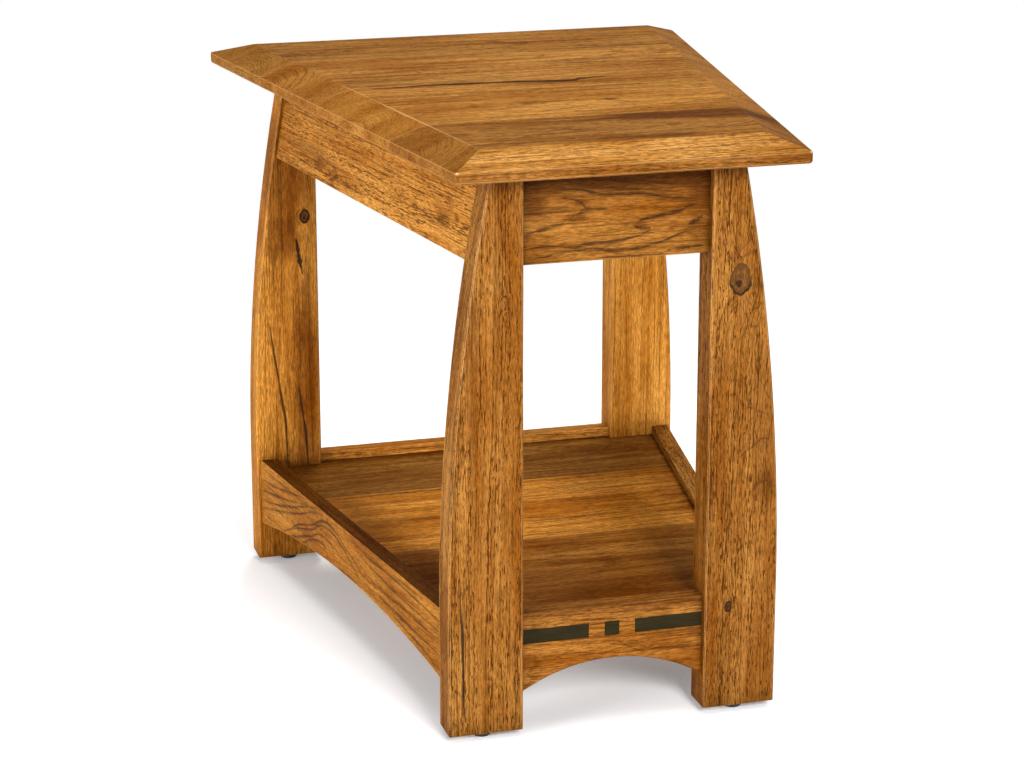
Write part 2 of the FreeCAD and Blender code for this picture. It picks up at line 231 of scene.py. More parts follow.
class ShaderNet:
    """Adds nodes to one shader tree and links them."""

    def __init__(self, tree):
        self.tree = tree

    def feed(self, socket, value):
        """Link a socket to another one, or set its own value."""
        if isinstance(value, bpy.types.NodeSocket):
            self.tree.links.new(value, socket)
        else:
            socket.default_value = value

    def add(self, kind, inputs=None, **settings):
        """Add a shader node with these settings and inputs."""
        node = self.tree.nodes.new("ShaderNode" + kind)
        for name, value in settings.items():
            setattr(node, name, value)
        for key, value in (inputs or {}).items():
            self.feed(node.inputs[key], value)
        return node

    def calc(self, operation, *values):
        """One sum on numbers."""
        return self.add("Math", dict(enumerate(values)), operation=operation).outputs[0]

    def plus(self, first, second):
        """Sum of two numbers."""
        return self.calc("ADD", first, second)

    def minus(self, first, second):
        """Difference of two numbers."""
        return self.calc("SUBTRACT", first, second)

    def times(self, first, second):
        """Product of two numbers."""
        return self.calc("MULTIPLY", first, second)

    def times_plus(self, first, second, third):
        """Product of two numbers, plus a third."""
        return self.calc("MULTIPLY_ADD", first, second, third)

    def larger(self, first, second):
        """The larger of two numbers."""
        return self.calc("MAXIMUM", first, second)

    def calc3(self, operation, *values):
        """One sum on vectors."""
        return self.add("VectorMath", dict(enumerate(values)), operation=operation).outputs["Vector"]

    def scaled(self, vector, factor):
        """A vector times a number."""
        inputs = {"Vector": vector, "Scale": factor}
        return self.add("VectorMath", inputs, operation="SCALE").outputs["Vector"]

    def length(self, vector):
        """Length of a vector."""
        return self.add("VectorMath", {0: vector}, operation="LENGTH").outputs["Value"]

    def dot(self, first, second):
        """Dot product of two vectors."""
        return self.add("VectorMath", {0: first, 1: second}, operation="DOT_PRODUCT").outputs["Value"]

    def parts(self, vector):
        """The three numbers of a vector."""
        return self.add("SeparateXYZ", {0: vector}).outputs

    def ease(self, value, low, high, start=0.0, end=1.0):
        """Smooth step from start at low to end at high."""
        inputs = {"Value": value, "From Min": low, "From Max": high, "To Min": start, "To Max": end}
        return self.add("MapRange", inputs, interpolation_type="SMOOTHSTEP").outputs["Result"]

    def blend(self, factor, first, second, kind="MIX"):
        """Mix of two colours."""
        inputs = {0: factor, 6: first, 7: second}
        return self.add("Mix", inputs, data_type="RGBA", blend_type=kind).outputs[2]

    def grain(self, place, stretch, detail=2.0, rough=0.5, output="Fac"):
        """Noise whose spots have the size 1 / stretch along, across and through the board."""
        spot = self.calc3("MULTIPLY", place, stretch)
        inputs = {"Vector": spot, "Scale": 1.0, "Detail": detail, "Roughness": rough}
        return self.add("TexNoise", inputs).outputs[output]

    def shake(self, place, reach, stretch, detail=2.0, rough=0.5):
        """A shift this way and that, by up to half of reach."""
        noise = self.grain(place, stretch, detail, rough, "Color")
        return self.scaled(self.calc3("SUBTRACT", noise, (0.5, 0.5, 0.5)), reach)

    def uneven(self, along):
        """Noise along a line."""
        return self.add("TexNoise", {"W": along, "Detail": 1.0}, noise_dimensions="1D").outputs["Fac"]


def rgba(colour):
    """A colour as a shader takes it."""
    return (*colour, 1.0)


def new_material(name):
    """A material, the net of its shader tree and the inputs of its shader."""
    material = bpy.data.materials.new(name)
    material.use_nodes = True
    net = ShaderNet(material.node_tree)
    return material, net, net.tree.nodes["Principled BSDF"].inputs


def surface(net, shader, colour, rough, height, strength, distance):
    """Give a shader its colour, its roughness and a bump from this height."""
    bump = net.add("Bump", {"Height": height, "Strength": strength, "Distance": distance})
    net.feed(shader["Base Color"], colour)
    net.feed(shader["Roughness"], rough)
    net.feed(shader["Normal"], bump.outputs[0])


# Hickory


class Knot(NamedTuple):
    """A branch that runs through the board: where it comes out, and how big and dark it is."""

    spot: tuple
    radius: float
    dark: float = 0.8
    swirl: float = 1.0


class Vein(NamedTuple):
    """A dark line of early wood through these points, or across the grain where it is turned."""

    points: tuple
    width: float
    dark: float = 0.8
    broken: float = 0.4
    turned: bool = False


class Crack(NamedTuple):
    """A dark filled crack through these points."""

    points: tuple
    width: float
    dark: float = 0.9
    side: int = 0
    turned: bool = False


class Shade(NamedTuple):
    """A soft dark area of the board: some are patches in the stain, some are painted shadows."""

    spot: tuple
    along: float
    across: float
    depth: float


class Glint(NamedTuple):
    """A painted glint: a pale round spot where a corner of the top catches the light."""

    spot: tuple
    radius: float
    pale: float = 0.8


class GlintLine(NamedTuple):
    """A painted highlight: a pale line through these points, along an arris that catches the light."""

    points: tuple
    width: float
    pale: float = 0.6
    turned: bool = True


class Board(NamedTuple):
    """How one board was cut from the log, and how it took the stain.

    The pith is the middle of the log, measured across and through the board from the middle of the board.
    """

    along: Vector
    across: Vector
    pith: tuple = (0.0, -0.07)
    ring: float = 0.0048
    taper: float = 0.05
    sway: float = 0.6
    streaks: float = 0.25
    lines: float = 0.6
    pores: float = 1.0
    # Share of the painted highlight along the arrises.
    wear: float = 1.0
    # Strength of the painted shade in corners.
    glaze: float = 1.0
    # Gains of the tint on a front bevel: painted light on the face that looks towards the lamps.
    bevel: tuple = ()
    # Painted shade on the faces that look upwards.
    edge: float = 0.0
    tint: tuple = (1.0, 1.0, 1.0)
    seed: float = 0.0
    marks: tuple = ()


# Sockets of the hickory group, by kind
GRAIN_INPUTS = {
    "Vector": ("Place", "Seed", "Pith"),
    "Float": ("Ring", "Taper", "Sway", "Streaks", "Lines", "Pores", "End", "Bulge", "Knot", "Vein", "Crack",
              "Shade", "Highlight", "Corner"),
    "Color": ("Tint",),
}
GRAIN_OUTPUTS = {"Color": ("Color",), "Float": ("Roughness", "Height")}

# How many spots of each kind of grain lie in a metre along, across and through a board
SLOW_BENDS = (2.2, 9, 9)
QUICK_BENDS = (12, 60, 60)
LINE_BREAKS = (40, 380, 380)
PORE_ROWS = (4, 150, 150)
LARGE_PORES = (45, 560, 560)
LONG_LINES = (8, 560, 560)
FIBRES = (110, 900, 900)
BANDS = (5, 95, 95)
MOTTLE = (5, 17, 17)
STREAKS = (3.2, 52, 52)
KNOT_EDGE = (90, 160, 60)
KNOT_GRAIN = (260, 420, 420)
VEIN_GAPS = (55, 420, 420)
SHADE_EDGE = (16, 90, 90)

# How far the grain bends out of line
SLOW_REACH = 0.05
QUICK_REACH = 0.0036

# Where the large pores and long lines start in the log, and the steps from board to board
LARGE_PORE_SHIFT = (3.1, 0.7, 1.9)
LONG_LINE_SHIFT = (1.3, 2.9, 0.4)
SEED_STEPS = (1.37, 0.61, 2.03)

# How a drawn line frays: how far, in how many spots to the metre, and with how much detail
LOOSE_VEIN = (0.0034, (26, 150, 150), 3.0)
CLEAN_VEIN = (0.0016, (26, 150, 150), 3.0)
FRAYED_CRACK = (0.0040, (14, 60, 60), 1.0)
FRAYED_ARRIS = (0.0008, (14, 60, 60), 1.0)
LOOSE_FROM = 0.4

# How much of the pore stain the lines and pores take
LONG_LINE_DEPTH = 0.55
RING_LINE_DEPTH = 0.80
PORE_DEPTH = 0.92

# Tones that the stain is darkened by, and those that lie over it, among them the painted corner shade and
# the painted highlights
SHADED = (0.46, 0.38, 0.34, 1)
END_GRAIN = (0.84, 0.83, 0.82, 1)
END_RING = (0.66, 0.58, 0.48, 1)
CORNER_SHADE = (0.34, 0.28, 0.22, 1)
ARRIS_HIGHLIGHT = (0.66, 0.37, 0.13, 1)
GLINT_WHITE = (0.90, 0.80, 0.66, 1)
KNOT_BROWN = (0.100, 0.043, 0.012, 1)
CRACK_FILL = (0.020, 0.012, 0.008, 1)


def hickory_group(finish):
    """Solid hickory: rings round the pith, pores along the grain, fibres, streaks and stain."""
    tree = bpy.data.node_groups.new("hickory", "ShaderNodeTree")
    for way, sockets in (("INPUT", GRAIN_INPUTS), ("OUTPUT", GRAIN_OUTPUTS)):
        for kind, names in sockets.items():
            for name in names:
                tree.interface.new_socket(name=name, in_out=way, socket_type="NodeSocket" + kind)
    given = tree.nodes.new("NodeGroupInput").outputs
    result = tree.nodes.new("NodeGroupOutput").inputs
    net = ShaderNet(tree)

    # Slow and quick bends of the grain
    spot = net.calc3("ADD", given["Place"], given["Seed"])
    slow = net.shake(spot, net.times(given["Sway"], SLOW_REACH), SLOW_BENDS)
    quick = net.shake(spot, QUICK_REACH, QUICK_BENDS, 3.0)
    bent = net.calc3("ADD", net.calc3("ADD", given["Place"], slow), quick)
    fibre_place = net.calc3("ADD", spot, net.scaled(slow, 0.5))
    side = net.minus(1.0, given["End"])

    # Rings, a little narrower towards one end of the board
    rel = net.parts(net.calc3("SUBTRACT", bent, given["Pith"]))
    flat = net.add("CombineXYZ", {1: rel[1], 2: rel[2]}).outputs[0]
    radius = net.times_plus(rel[0], given["Taper"], net.length(flat))
    radius = net.plus(radius, given["Bulge"])
    years = net.calc("DIVIDE", radius, given["Ring"])
    years = net.times_plus(net.uneven(net.times(radius, 70.0)), 2.2, years)
    phase = net.calc("FRACT", years)
    early = net.times(net.ease(phase, 0.0, 0.05), net.ease(phase, 0.45, 0.05))
    broken = net.grain(fibre_place, LINE_BREAKS, 3.0, 0.7)
    line = net.times(early, net.ease(broken, 0.38, 0.60))
    line = net.times(line, given["Lines"])

    # Pores crowd in the early wood and in rows along the grain
    pore_size = (1 / finish.pore_length, 1 / finish.pore_width, 1 / finish.pore_width)
    gather = net.times(net.minus(early, 0.3), 0.10)
    rows = net.grain(fibre_place, PORE_ROWS)
    gather = net.times_plus(net.minus(rows, 0.5), 0.35, gather)
    small = net.grain(fibre_place, pore_size, 1.0)
    small = net.ease(net.plus(small, gather), 0.598, 0.618)
    large = net.grain(net.calc3("ADD", fibre_place, LARGE_PORE_SHIFT), LARGE_PORES, 1.5, 0.6)
    large = net.ease(net.plus(large, gather), 0.634, 0.654)
    pores = net.times(net.larger(small, large), given["Pores"])
    pores = net.times(pores, net.ease(given["End"], 0.0, 1.0, 1.0, 0.4))

    # Long thin lines, fibres, wider bands, and streaks of mineral
    long_line = net.grain(net.calc3("ADD", fibre_place, LONG_LINE_SHIFT), LONG_LINES, 1.0)
    long_line = net.times(net.ease(long_line, 0.58, 0.68), side)
    fibre = net.grain(fibre_place, FIBRES, 3.0, 0.7)
    band = net.minus(net.grain(fibre_place, BANDS), 0.5)
    band = net.times(band, net.ease(given["End"], 0.0, 1.0, 0.7, 0.2))
    mottle = net.grain(spot, MOTTLE, 3.0, 0.55)
    streak = net.ease(net.grain(fibre_place, STREAKS, 2.5), 0.56, 0.74)
    streak = net.times(streak, net.times(given["Streaks"], side))

    # Stain, from the bare wood outwards, with the painted shade and painted highlights laid over it
    colour = net.ease(net.plus(band, mottle), 0.22, 0.78)
    colour = net.blend(colour, rgba(finish.pale), rgba(finish.deep))
    pore_stain, streak_stain = rgba(finish.pore), rgba(finish.streak)
    shine = net.ease(fibre, 0.34, 0.66, 0.60, 1.34)
    shine = net.add("CombineColor", {0: shine, 1: shine, 2: shine}).outputs[0]
    fine_ring = net.calc("PINGPONG", net.times(years, 3.0), 0.5)
    fine_ring = net.times(given["End"], net.ease(fine_ring, 0.30, 0.46))
    layers = (
        (1.0, shine, "MULTIPLY"),
        (1.0, given["Tint"], "MULTIPLY"),
        # Shade marks: patches in the stain, painted shadows, and painted shade on upward faces
        (given["Shade"], SHADED, "MULTIPLY"),
        (given["End"], END_GRAIN, "MULTIPLY"),
        (fine_ring, END_RING, "MULTIPLY"),
        (streak, streak_stain, "MIX"),
        (net.times(long_line, LONG_LINE_DEPTH), pore_stain, "MIX"),
        (net.times(line, RING_LINE_DEPTH), pore_stain, "MIX"),
        (net.times(pores, PORE_DEPTH), pore_stain, "MIX"),
        (given["Vein"], streak_stain, "MIX"),
        # The next three layers are painted shade in corners, then painted highlights along arrises and at
        # corners
        (given["Corner"], CORNER_SHADE, "MULTIPLY"),
        (given["Highlight"], ARRIS_HIGHLIGHT, "MIX"),
        (net.ease(given["Highlight"], 0.65, 0.95), GLINT_WHITE, "MIX"),
        (net.ease(given["Knot"], 0.0, 0.5), KNOT_BROWN, "MIX"),
        (net.ease(given["Knot"], 0.5, 1.0), streak_stain, "MIX"),
        (given["Crack"], CRACK_FILL, "MIX"),
    )
    for share, tone, kind in layers:
        colour = net.blend(share, colour, tone, kind)
    net.feed(result["Color"], colour)

    # Varnish sinks a little into the pores
    rough = net.times_plus(pores, 0.18, finish.roughness)
    rough = net.times_plus(net.minus(fibre, 0.5), 0.16, rough)
    net.feed(result["Roughness"], rough)
    height = net.times_plus(pores, -0.7, net.times(fibre, 0.25))
    height = net.times_plus(early, -0.12, height)
    height = net.times_plus(given["Crack"], -1.6, height)
    net.feed(result["Height"], height)
    return tree


def painted_arris_highlight(net, width):
    """Painted highlight: paler along the arrises, where an edge would catch the light."""
    round_normal = net.add("Bevel", {"Radius": width}, samples=4).outputs[0]
    turn = net.dot(round_normal, net.add("NewGeometry").outputs["Normal"])
    return net.ease(turn, 0.995, 0.94, 0.0, 0.64)


def painted_corner_shade(net, reach):
    """Painted shade: darker in corners between two pieces and under overhangs, from ambient occlusion."""
    open_share = net.add("AmbientOcclusion", {"Distance": reach}, samples=6).outputs["AO"]
    return net.ease(open_share, 0.92, 0.42, 0.0, 0.85)


class MarkSums:
    """What the knots, lines, cracks, shades and painted glints of one board add up to."""

    def __init__(self, net, place, axes, middle):
        self.net = net
        self.place = place
        self.axes = axes
        self.middle = middle
        self.bulge = self.knot = self.vein = self.crack = self.shade = self.glint = 0.0
        self.frayed = {}
        self.gaps = None

    def on_board(self, spot):
        """A point of the table as along, across and through this board."""
        away = Vector(spot) * MM - self.middle
        return [away.dot(axis) for axis in self.axes]

    def away_from(self, spot):
        """Places measured from this point, whatever their depth in the board."""
        along, across, _ = self.on_board(spot)
        return self.net.calc3("SUBTRACT", self.place, (along, across, 0.0))

    def add_knot(self, mark):
        """Grain that flows round a knot, and the knot's brown heart, dark rim and black eye."""
        net = self.net
        radius = mark.radius * MM
        ragged = net.shake(self.place, radius * 0.8, KNOT_EDGE)
        away = net.calc3("ADD", self.away_from(mark.spot), ragged)
        away = net.calc3("MULTIPLY", away, (0.70, 1.0, 0.0))
        far = net.length(away)
        swell = net.calc("POWER", net.calc("DIVIDE", far, 2.3 * radius), 2.0)
        swell = net.calc("POWER", math.e, net.times(swell, -1.0))
        self.bulge = net.times_plus(swell, 1.9 * radius * mark.swirl, self.bulge)
        grain = net.ease(net.grain(self.place, KNOT_GRAIN, 2.0, 0.6), 0.35, 0.65, 0.75, 1.35)
        rings = net.ease(net.calc("PINGPONG", far, radius * 0.26), 0.0, radius * 0.26, 0.75, 1.35)
        heart = net.ease(far, radius * 1.08, radius * 0.80, 0.0, 0.30)
        heart = net.times(heart, net.times(grain, rings))
        low_side = net.ease(net.parts(away)[0], radius * 0.4, -radius * 0.6, 0.55, 1.0)
        rim = net.times(net.ease(far, radius * 1.12, radius), net.ease(far, radius * 0.74, radius * 0.92))
        rim = net.times(rim, low_side)
        eye = net.length(net.calc3("ADD", away, (0.22 * radius, 0.12 * radius, 0.0)))
        eye = net.ease(eye, radius * 0.34, radius * 0.18, 0.0, 1.2)
        dark = net.larger(net.larger(heart, rim), eye)
        self.knot = net.times_plus(dark, mark.dark, self.knot)

    def fray(self, kind):
        """Places shaken in one of the ways that lines fray."""
        if kind not in self.frayed:
            shift = self.net.shake(self.place, *kind, 0.6)
            self.frayed[kind] = self.net.parts(self.net.calc3("ADD", self.place, shift))
        return self.frayed[kind]

    def trace(self, mark, kind):
        """How far a spot lies off a drawn line, less the line's half width, and how near its ends."""
        net = self.net
        frayed = self.fray(kind)
        run, rise = (1, 0) if mark.turned else (0, 1)
        spots = sorted((self.on_board(point) for point in mark.points), key=lambda spot: spot[run])
        first, last = spots[0][run], spots[-1][run]
        low = min(spot[rise] for spot in spots)
        span = max(spot[rise] for spot in spots) - low + 1e-6
        share = net.calc("DIVIDE", net.minus(frayed[run], first), last - first)
        path = net.add("FloatCurve", {"Value": share})
        curve = path.mapping.curves[0]
        while len(curve.points) < len(spots):
            curve.points.new(0.5, 0.5)
        for point, spot in zip(curve.points, spots):
            point.location = ((spot[run] - first) / (last - first), (spot[rise] - low) / span)
        path.mapping.update()
        level = net.times_plus(path.outputs[0], span, low)
        off = net.calc("ABSOLUTE", net.minus(frayed[rise], level))
        swell = net.uneven(net.times_plus(share, 0.9, first * 100))
        body = net.times(net.ease(share, 0.0, 0.10), net.ease(share, 1.0, 0.90))
        bulk = net.times(net.ease(share, 0.0, 0.45, 0.35, 1.0), net.ease(share, 1.0, 0.60, 0.35, 1.0))
        half = net.times(net.times(bulk, swell), mark.width * 1.4 * MM)
        return net.minus(off, half), body

    def add_vein(self, mark):
        """A ring line with a soft brown edge, broken up by the fibres."""
        net = self.net
        if self.gaps is None:
            self.gaps = net.ease(net.grain(self.place, VEIN_GAPS, 2.0, 0.6), 0.38, 0.52)
        off, body = self.trace(mark, LOOSE_VEIN if mark.broken > LOOSE_FROM else CLEAN_VEIN)
        dark = net.ease(off, 0.0006, -0.0003, 0.0, mark.dark)
        dark = net.times(dark, net.ease(self.gaps, 0.0, 1.0, 1.0 - mark.broken, 1.0))
        dark = net.larger(dark, net.ease(off, 0.0030, 0.0, 0.0, 0.30 * mark.dark))
        self.vein = net.larger(net.times(dark, body), self.vein)

    def add_crack(self, mark):
        """A dark line that tapers to its ends, on one face of the board or on both."""
        net = self.net
        off, body = self.trace(mark, FRAYED_CRACK)
        dark = net.times(net.ease(off, 0.0010, -0.0006, 0.0, mark.dark), body)
        if mark.side:
            through = net.times(net.parts(self.place)[2], mark.side)
            dark = net.times(dark, net.ease(through, 0.0, 0.002))
        self.crack = net.larger(dark, self.crack)

    def add_shade(self, mark):
        """A soft area, darker than the rest."""
        net = self.net
        shrink = (1 / (mark.along * MM), 1 / (mark.across * MM), 0.0)
        away = net.calc3("MULTIPLY", self.away_from(mark.spot), shrink)
        ragged = net.minus(net.grain(self.place, SHADE_EDGE, 3.0, 0.6), 0.5)
        far = net.times_plus(ragged, 1.1, net.length(away))
        self.shade = net.plus(net.ease(far, 1.05, 0.35, 0.0, mark.depth), self.shade)

    def add_glint(self, mark):
        """A painted glint: a pale round spot at a corner."""
        net = self.net
        away = net.length(net.calc3("SUBTRACT", self.place, self.on_board(mark.spot)))
        radius = mark.radius * MM
        self.glint = net.larger(net.ease(away, radius, radius * 0.5, 0.0, mark.pale), self.glint)

    def add_glint_line(self, mark):
        """A painted highlight: a thin pale line along an arris."""
        net = self.net
        off, body = self.trace(mark, FRAYED_ARRIS)
        line = net.times(net.ease(off, 0.0003, -0.0004, 0.0, mark.pale), body)
        self.glint = net.larger(line, self.glint)

    def add(self, mark):
        """Add one mark of any kind."""
        kinds = {Knot: self.add_knot, Vein: self.add_vein, Crack: self.add_crack, Shade: self.add_shade,
                 Glint: self.add_glint, GlintLine: self.add_glint_line}
        kinds[type(mark)](mark)


def middle_of(node):
    """Middle of a node's box."""
    low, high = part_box(node)
    return (low + high) / 2


def hickory(name, board, finish):
    """Stained and varnished hickory for one board, with the grain along it."""
    group = bpy.data.node_groups.get("hickory") or hickory_group(finish)
    material, net, shader = new_material(name + "_hickory")

    along = board.along.normalized()
    across = board.across.normalized()
    axes = (along, across, along.cross(across))
    middle = middle_of(name)
    turn = Matrix(axes).transposed().to_euler()
    coordinate = net.add("TexCoord").outputs
    inputs = {"Vector": coordinate["Object"], "Location": middle, "Rotation": turn}
    place = net.add("Mapping", inputs, vector_type="TEXTURE").outputs[0]
    cut_across = net.calc("ABSOLUTE", net.dot(coordinate["Normal"], along))
    # Painted shade: ambient occlusion darkens the wood in corners and under overhangs.
    corner = net.times(painted_corner_shade(net, finish.glaze), board.glaze)
    # Painted highlight along the arrises, faded out where the corner shade lies.
    arris_highlight = net.times(painted_arris_highlight(net, finish.wear), net.ease(corner, 0.0, 0.3, board.wear, 0.0))
    tint = rgba(board.tint)
    rise = net.parts(coordinate["Normal"])[2]
    # Painted light: a front bevel, which faces the lamps, gets a paler, less saturated tint than the flat
    # top.
    if board.bevel:
        lit_bevel = net.times(net.ease(rise, 0.996, 0.985), net.ease(rise, 0.4, 0.7))
        lit_bevel = net.times(lit_bevel, net.ease(cut_across, 0.12, 0.05))
        paler = tuple(part * gain for part, gain in zip(board.tint, board.bevel))
        tint = net.blend(lit_bevel, tint, rgba(paler))
    marks = MarkSums(net, place, axes, middle)
    # Painted shade on the faces that look upwards, through both the shade marks and the corner tone.
    if board.edge:
        marks.shade = net.ease(rise, 0.7, 0.95, 0.0, board.edge)
        corner = net.larger(corner, marks.shade)
    for mark in board.marks:
        marks.add(mark)

    values = {
        "Place": place,
        "Seed": tuple(board.seed * step for step in SEED_STEPS),
        "Pith": (0.0, *board.pith),
        "Tint": tint,
        "End": net.times(net.ease(cut_across, 0.12, 0.30), net.ease(cut_across, 0.5, 0.9, 1.0, 0.45)),
        # Painted highlights: the arris lines and the glints of the marks.
        "Highlight": net.larger(arris_highlight, marks.glint),
        "Corner": corner,
    }
    for key in ("ring", "taper", "sway", "streaks", "lines", "pores"):
        values[key.title()] = getattr(board, key)
    for key in ("bulge", "knot", "vein", "crack", "shade"):
        values[key.title()] = getattr(marks, key)
    wood = net.add("Group", values, node_tree=group).outputs
    surface(net, shader, wood["Color"], wood["Roughness"], wood["Height"], strength=0.35, distance=0.0005)
    shader["Specular IOR Level"].default_value = 0.0
    shader["Coat Weight"].default_value = 0.08
    shader["Coat Roughness"].default_value = 0.30
    return material


def dress(node, material):
    """Give a CAD node this material in all its slots."""
    mesh = NODES[node].data
    if not mesh.materials:
        mesh.materials.append(material)
    for index in range(len(mesh.materials)):
        mesh.materials[index] = material


def dress_boards(boards, finish):
    """Stain each named board."""
    for name, board in boards.items():
        dress(name, hickory(name, board, finish))


def lengthwise(node):
    """Direction in which a side board runs, from its front end to its back end."""
    points = [vertex.co for vertex in NODES[node].data.vertices]
    low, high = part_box(node)
    reach = (high.y - low.y) * END_SHARE
    front = [p.x for p in points if p.y < low.y + reach]
    back = [p.x for p in points if p.y > high.y - reach]
    lean = sum(back) / len(back) - sum(front) / len(front)
    return Vector((lean, high.y - low.y, 0)).normalized()


def front(*points):
    """Points x, z on a board that faces the front."""
    return tuple((x, 0.0, z) for x, z in points)


def above(*points):
    """Points x, y on a flat board."""
    return tuple((x, y, 0.0) for x, y in points)


def beside(node, *points):
    """Points y, z on a board that runs along one side."""
    middle = middle_of(node) / MM
    run = lengthwise(node)
    return tuple((middle.x + (y - middle.y) * run.x / run.y, y, z) for y, z in points)


TOP_SPLIT = Crack(above((-190, 13), (-146, 10), (-113, 12), (-81, 11), (-59, 10), (-26, 9), (0, 6), (21, 2),
                        (42, 0), (54, 6), (68, 9), (78, 12), (112, 9)), 7.0, 0.9)

# Painted highlight along the inner arris of the top's left bevel.
TOP_ARRIS = GlintLine(above((-143.0, -324), (-150.8, -270), (-173.5, -115), (-199.2, 60)), 1.7, 0.52)


def top_boards():
    """The four boards of the top, their grain from side to side."""
    flat = {"along": EAST, "across": NORTH, "pores": 0.7, "lines": 0.4}
    return {
        "top_board_back": Board(
            **flat, pith=(-0.03, -0.10), ring=0.0075, taper=0.06, sway=0.25, streaks=0.35,
            tint=(1.06, 1.12, 1.25), seed=1.0,
            marks=(Vein(above((86, 203), (115, 203), (151, 197), (203, 193)), 4.0, 0.6),
                   Shade((-190, 250, 610), 120, 50, 0.35))),
        "top_board_middle_back": Board(
            **flat, pith=(0.05, -0.09), ring=0.0065, taper=0.04, sway=0.25, streaks=0.30,
            tint=(1.24, 1.31, 1.45), seed=2.0,
            marks=(TOP_SPLIT, TOP_ARRIS, Vein(above((40, 105), (106, 99), (155, 94)), 4.0, 0.5),
                   Vein(above((170, 101), (205, 94)), 4.5, 0.55))),
        "top_board_middle_front": Board(
            **flat, pith=(-0.02, -0.12), ring=0.006, taper=0.03, sway=0.2, streaks=0.18,
            tint=(1.31, 1.37, 1.40), seed=3.0,
            marks=(TOP_SPLIT, TOP_ARRIS, Vein(above((103, 8), (118, 10), (136, 12), (158, 10)), 4.0, 0.4),
                   Vein(above((-49, -161), (-7, -146), (29, -134)), 3.5, 0.4),
                   Vein(above((35, -114), (51, -112), (61, -127), (78, -134)), 3.0, 0.6),
                   Knot((51, -112, 610), 4.0, 0.9))),
        "top_board_front": Board(
            **flat, pith=(0.02, -0.08), ring=0.005, taper=0.03, sway=0.2, streaks=0.2,
            # The bevel gains are painted light on the front bevel.
            bevel=(1.58, 1.82, 2.45), tint=(0.97, 0.99, 1.05), seed=4.0,
            marks=(TOP_ARRIS, Shade((122, -203, 610), 150, 38, 0.85), Shade((38, -303, 610), 55, 12, 0.75),
                   Shade((-20, -240, 610), 160, 40, 0.3), Shade((0, -354, 598), 2000, 3, 0.5),
                   # Painted glints on the two front corners of the top.
                   Glint((-177, -354, 598), 4.5, 0.8), Glint((177, -354, 598), 4.5, 0.8))),
    }


def leg_boards():
    """The four plank legs, their grain upright."""
    upright = {"along": UP, "across": EAST}
    curls = (
        (0.8, 0.75, ((130, 445), (137, 436), (143, 430), (148, 434), (153, 438))),
        (0.9, 0.8, ((126, 436), (135, 421), (141, 411), (147, 414), (153, 423))),
        (0.8, 0.7, ((114, 481), (127, 492), (135, 500), (140, 505))),
        (0.8, 0.65, ((125, 481), (135, 487), (144, 489))),
        (0.8, 0.75, ((135, 330), (139, 344), (145, 348), (148, 358))),
        (0.8, 0.75, ((149, 358), (155, 346), (162, 330))),
        (0.8, 0.7, ((135, 329), (141, 327), (148, 323), (157, 321))),
        (0.9, 0.7, ((127, 275), (141, 285), (147, 290), (155, 294), (162, 291), (166, 287))),
        (0.9, 0.6, ((134, 205), (144, 240), (157, 249), (169, 238))),
    )
    return {
        "leg_front_left": Board(
            **upright, pith=(0.05, 0.05), ring=0.0036, taper=0.010, sway=0.22, streaks=0.20, lines=0.7,
            tint=(0.94, 0.95, 0.96), seed=5.0,
            marks=(Crack(front((-160, 175), (-161, 144), (-159, 116), (-159, 70), (-158, 20)), 2.0, 0.9, -1),
                   Vein(front((-121, 446), (-119, 458), (-114, 461), (-110, 456)), 1.2, 0.8, 0.2, True),
                   Knot((-114, 0, 452), 2.4, 0.5, 0.6), Shade((-150, -301, 400), 130, 10, 0.4))),
        "leg_front_right": Board(
            **upright, pith=(0.035, 0.035), ring=0.0034, taper=0.02, sway=0.22, streaks=0.2, lines=0.7,
            tint=(0.87, 0.86, 0.85), seed=6.0,
            marks=(Knot((126, -301, 461), 10.5, 1.0, 0.8), Knot((121, -301, 117), 4.0, 2.6),
                   *(Vein(front(*line), width, dark, 0.6, True) for width, dark, line in curls),
                   Shade((146, -301, 462), 22, 11, 0.5), Shade((156, -301, 320), 95, 26, 0.4),
                   Shade((157, -301, 243), 26, 16, 0.6), Knot((167, -301, 48), 2.0, 0.6))),
        "leg_back_left": Board(
            **upright, pith=(0.04, 0.06), ring=0.0085, taper=0.02, sway=0.35, streaks=0.3, lines=0.4,
            pores=0.4, tint=(1.50, 1.48, 1.20), seed=7.0,
            marks=(Knot((-193, 263, 418), 5.5, 1.9),
                   Crack(front((-203, 394), (-201, 376), (-196, 348)), 2.8, 0.95, -1),
                   Crack(front((-236, 298), (-230, 240), (-224, 194), (-220, 160), (-219, 110)),
                         1.8, 0.9, -1),
                   Crack(front((-204, 222), (-200, 186), (-196, 155), (-195, 110)), 1.8, 0.9, -1),
                   Shade((-213, 263, 470), 75, 45, 0.6), Shade((-220, 263, 392), 34, 30, 0.8),
                   Shade((-194, 263, 190), 170, 26, 0.85))),
        "leg_back_right": Board(
            **upright, pith=(0.09, 0.10), ring=0.0040, taper=0.005, sway=0.10, streaks=0.12, lines=0.4,
            # Its pale tint is partly paler wood and partly painted light, for the lamp light that reaches
            # this leg under the top.
            pores=0.2, tint=(1.75, 1.88, 1.75), seed=8.0),
    }


